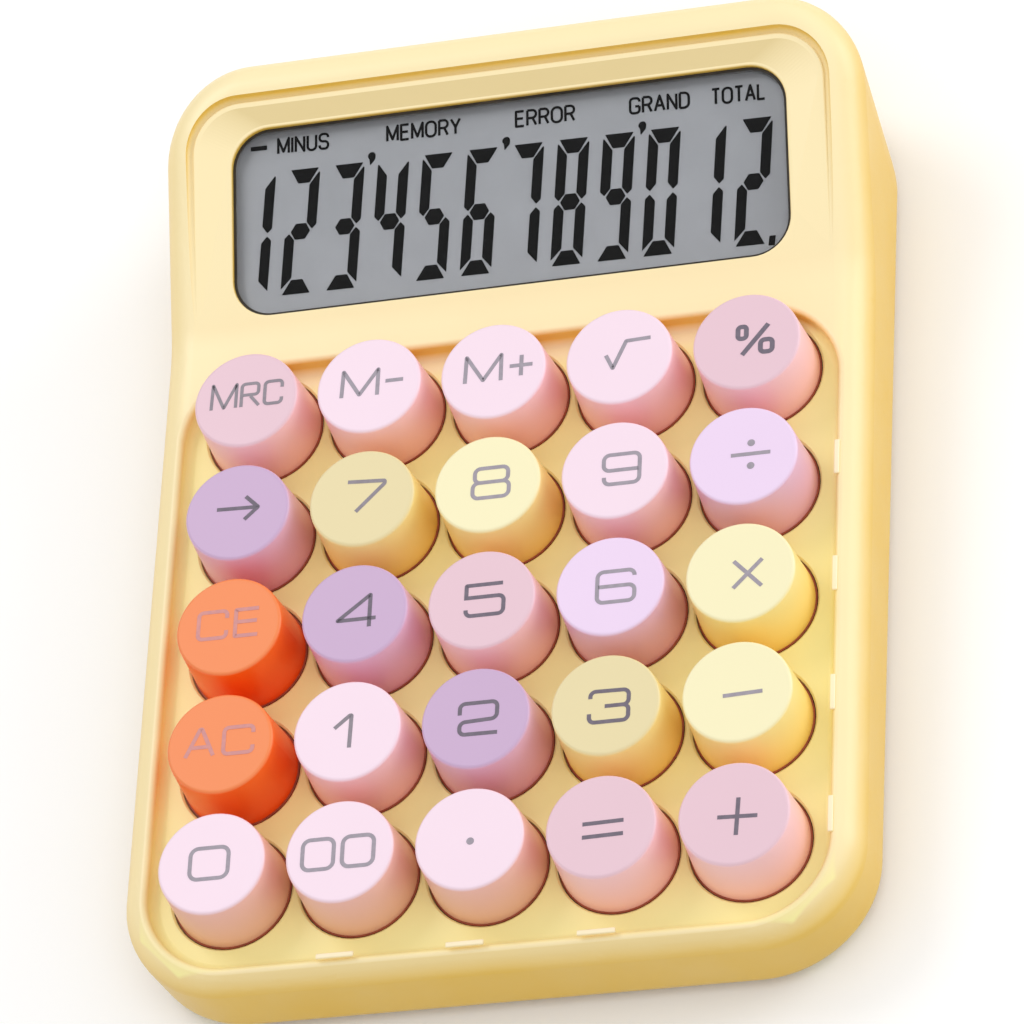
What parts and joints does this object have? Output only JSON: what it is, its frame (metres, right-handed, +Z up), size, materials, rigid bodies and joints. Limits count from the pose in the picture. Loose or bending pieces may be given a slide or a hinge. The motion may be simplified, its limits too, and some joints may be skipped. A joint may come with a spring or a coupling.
{
  "type": "desk calculator",
  "caption": "Desk calculator with a raised display end and round sprung keys in a sunk keypad, on rubber feet.",
  "frame": {"origin": "on the desk under the middle of the case's outline, at the bottom of the rubber feet", "axes": "+X to the user's right, +Y away from the user towards the display, +Z up"},
  "size_m": [0.1088, 0.1504, 0.032],
  "materials": {
    "case": "satin moulded cream plastic",
    "key_pink": "satin moulded pink plastic",
    "key_lilac": "satin moulded lilac plastic",
    "key_yellow": "satin moulded yellow plastic",
    "key_orange": "satin moulded orange plastic",
    "key_pale": "satin moulded pale pink plastic",
    "window": "clear polished acrylic",
    "lcd": "grey reflective liquid crystal glass",
    "switch": "matt black moulded plastic",
    "cover": "translucent white moulded plastic",
    "board": "green glass-fibre circuit board",
    "chip": "black moulded chip package",
    "passive": "ceramic chip components",
    "ribbon": "amber flexible film",
    "lead": "insulated copper wire",
    "contact": "plated brass",
    "steel": "zinc plated steel",
    "cell": "plain sleeved steel can",
    "feet": "matt rubber",
    "ink": "printed ink and dark crystal segments"
  },
  "bodies": {
    "case": {"top_housing": "case", "base_cover": "case", "rubber_feet": "feet", "case_screws": "steel", "display_window": "window", "lcd_panel": "lcd", "display_holder": "switch", "display_screws": "steel", "display_ribbon": "ribbon", "circuit_board": "board", "controller_chip": "chip", "board_passives": "passive", "board_screws": "steel", "switch_bases": "switch", "switch_covers": "cover", "switch_springs": "steel", "switch_terminals": "contact", "battery_cell": "cell", "positive_contact": "contact", "negative_contact": "contact", "battery_leads": "lead"},
    "key_memory_recall": {"key_memory_recall": "key_pink"},
    "key_memory_minus": {"key_memory_minus": "key_pink"},
    "key_memory_plus": {"key_memory_plus": "key_pink"},
    "key_square_root": {"key_square_root": "key_pink"},
    "key_percent": {"key_percent": "key_pink"},
    "key_backspace": {"key_backspace": "key_lilac"},
    "key_7": {"key_7": "key_yellow"},
    "key_8": {"key_8": "key_yellow"},
    "key_9": {"key_9": "key_pink"},
    "key_divide": {"key_divide": "key_lilac"},
    "key_clear_entry": {"key_clear_entry": "key_orange"},
    "key_4": {"key_4": "key_lilac"},
    "key_5": {"key_5": "key_pink"},
    "key_6": {"key_6": "key_lilac"},
    "key_multiply": {"key_multiply": "key_yellow"},
    "key_all_clear": {"key_all_clear": "key_orange"},
    "key_1": {"key_1": "key_pink"},
    "key_2": {"key_2": "key_lilac"},
    "key_3": {"key_3": "key_yellow"},
    "key_minus": {"key_minus": "key_yellow"},
    "key_0": {"key_0": "key_pale"},
    "key_00": {"key_00": "key_pale"},
    "key_decimal": {"key_decimal": "key_pale"},
    "key_equals": {"key_equals": "key_pink"},
    "key_plus": {"key_plus": "key_pink"},
    "battery_hatch": {"battery_hatch": "case"}
  },
  "joints": [
    {"name": "key_memory_recall_press", "type": "slide", "parent": "case", "child": "key_memory_recall", "axis": [0, 0.0349, -0.9994], "range_m": [0, 0.0025], "stiffness_N_per_m": 100, "springref_m": -0.004, "deforming": ["switch_springs"]},
    {"name": "key_memory_minus_press", "type": "slide", "parent": "case", "child": "key_memory_minus", "axis": [0, 0.0349, -0.9994], "range_m": [0, 0.0025], "stiffness_N_per_m": 100, "springref_m": -0.004, "deforming": ["switch_springs"]},
    {"name": "key_memory_plus_press", "type": "slide", "parent": "case", "child": "key_memory_plus", "axis": [0, 0.0349, -0.9994], "range_m": [0, 0.0025], "stiffness_N_per_m": 100, "springref_m": -0.004, "deforming": ["switch_springs"]},
    {"name": "key_square_root_press", "type": "slide", "parent": "case", "child": "key_square_root", "axis": [0, 0.0349, -0.9994], "range_m": [0, 0.0025], "stiffness_N_per_m": 100, "springref_m": -0.004, "deforming": ["switch_springs"]},
    {"name": "key_percent_press", "type": "slide", "parent": "case", "child": "key_percent", "axis": [0, 0.0349, -0.9994], "range_m": [0, 0.0025], "stiffness_N_per_m": 100, "springref_m": -0.004, "deforming": ["switch_springs"]},
    {"name": "key_backspace_press", "type": "slide", "parent": "case", "child": "key_backspace", "axis": [0, 0.0349, -0.9994], "range_m": [0, 0.0025], "stiffness_N_per_m": 100, "springref_m": -0.004, "deforming": ["switch_springs"]},
    {"name": "key_7_press", "type": "slide", "parent": "case", "child": "key_7", "axis": [0, 0.0349, -0.9994], "range_m": [0, 0.0025], "stiffness_N_per_m": 100, "springref_m": -0.004, "deforming": ["switch_springs"]},
    {"name": "key_8_press", "type": "slide", "parent": "case", "child": "key_8", "axis": [0, 0.0349, -0.9994], "range_m": [0, 0.0025], "stiffness_N_per_m": 100, "springref_m": -0.004, "deforming": ["switch_springs"]},
    {"name": "key_9_press", "type": "slide", "parent": "case", "child": "key_9", "axis": [0, 0.0349, -0.9994], "range_m": [0, 0.0025], "stiffness_N_per_m": 100, "springref_m": -0.004, "deforming": ["switch_springs"]},
    {"name": "key_divide_press", "type": "slide", "parent": "case", "child": "key_divide", "axis": [0, 0.0349, -0.9994], "range_m": [0, 0.0025], "stiffness_N_per_m": 100, "springref_m": -0.004, "deforming": ["switch_springs"]},
    {"name": "key_clear_entry_press", "type": "slide", "parent": "case", "child": "key_clear_entry", "axis": [0, 0.0349, -0.9994], "range_m": [0, 0.0025], "stiffness_N_per_m": 100, "springref_m": -0.004, "deforming": ["switch_springs"]},
    {"name": "key_4_press", "type": "slide", "parent": "case", "child": "key_4", "axis": [0, 0.0349, -0.9994], "range_m": [0, 0.0025], "stiffness_N_per_m": 100, "springref_m": -0.004, "deforming": ["switch_springs"]},
    {"name": "key_5_press", "type": "slide", "parent": "case", "child": "key_5", "axis": [0, 0.0349, -0.9994], "range_m": [0, 0.0025], "stiffness_N_per_m": 100, "springref_m": -0.004, "deforming": ["switch_springs"]},
    {"name": "key_6_press", "type": "slide", "parent": "case", "child": "key_6", "axis": [0, 0.0349, -0.9994], "range_m": [0, 0.0025], "stiffness_N_per_m": 100, "springref_m": -0.004, "deforming": ["switch_springs"]},
    {"name": "key_multiply_press", "type": "slide", "parent": "case", "child": "key_multiply", "axis": [0, 0.0349, -0.9994], "range_m": [0, 0.0025], "stiffness_N_per_m": 100, "springref_m": -0.004, "deforming": ["switch_springs"]},
    {"name": "key_all_clear_press", "type": "slide", "parent": "case", "child": "key_all_clear", "axis": [0, 0.0349, -0.9994], "range_m": [0, 0.0025], "stiffness_N_per_m": 100, "springref_m": -0.004, "deforming": ["switch_springs"]},
    {"name": "key_1_press", "type": "slide", "parent": "case", "child": "key_1", "axis": [0, 0.0349, -0.9994], "range_m": [0, 0.0025], "stiffness_N_per_m": 100, "springref_m": -0.004, "deforming": ["switch_springs"]},
    {"name": "key_2_press", "type": "slide", "parent": "case", "child": "key_2", "axis": [0, 0.0349, -0.9994], "range_m": [0, 0.0025], "stiffness_N_per_m": 100, "springref_m": -0.004, "deforming": ["switch_springs"]},
    {"name": "key_3_press", "type": "slide", "parent": "case", "child": "key_3", "axis": [0, 0.0349, -0.9994], "range_m": [0, 0.0025], "stiffness_N_per_m": 100, "springref_m": -0.004, "deforming": ["switch_springs"]},
    {"name": "key_minus_press", "type": "slide", "parent": "case", "child": "key_minus", "axis": [0, 0.0349, -0.9994], "range_m": [0, 0.0025], "stiffness_N_per_m": 100, "springref_m": -0.004, "deforming": ["switch_springs"]},
    {"name": "key_0_press", "type": "slide", "parent": "case", "child": "key_0", "axis": [0, 0.0349, -0.9994], "range_m": [0, 0.0025], "stiffness_N_per_m": 100, "springref_m": -0.004, "deforming": ["switch_springs"]},
    {"name": "key_00_press", "type": "slide", "parent": "case", "child": "key_00", "axis": [0, 0.0349, -0.9994], "range_m": [0, 0.0025], "stiffness_N_per_m": 100, "springref_m": -0.004, "deforming": ["switch_springs"]},
    {"name": "key_decimal_press", "type": "slide", "parent": "case", "child": "key_decimal", "axis": [0, 0.0349, -0.9994], "range_m": [0, 0.0025], "stiffness_N_per_m": 100, "springref_m": -0.004, "deforming": ["switch_springs"]},
    {"name": "key_equals_press", "type": "slide", "parent": "case", "child": "key_equals", "axis": [0, 0.0349, -0.9994], "range_m": [0, 0.0025], "stiffness_N_per_m": 100, "springref_m": -0.004, "deforming": ["switch_springs"]},
    {"name": "key_plus_press", "type": "slide", "parent": "case", "child": "key_plus", "axis": [0, 0.0349, -0.9994], "range_m": [0, 0.0025], "stiffness_N_per_m": 100, "springref_m": -0.004, "deforming": ["switch_springs"]},
    {"name": "battery_hatch_swing", "type": "hinge", "parent": "case", "child": "battery_hatch", "pos_m": [0, 0.0553, 0.0019], "axis": [-1, 0, 0], "range_deg": [0, 75]}
  ]
}
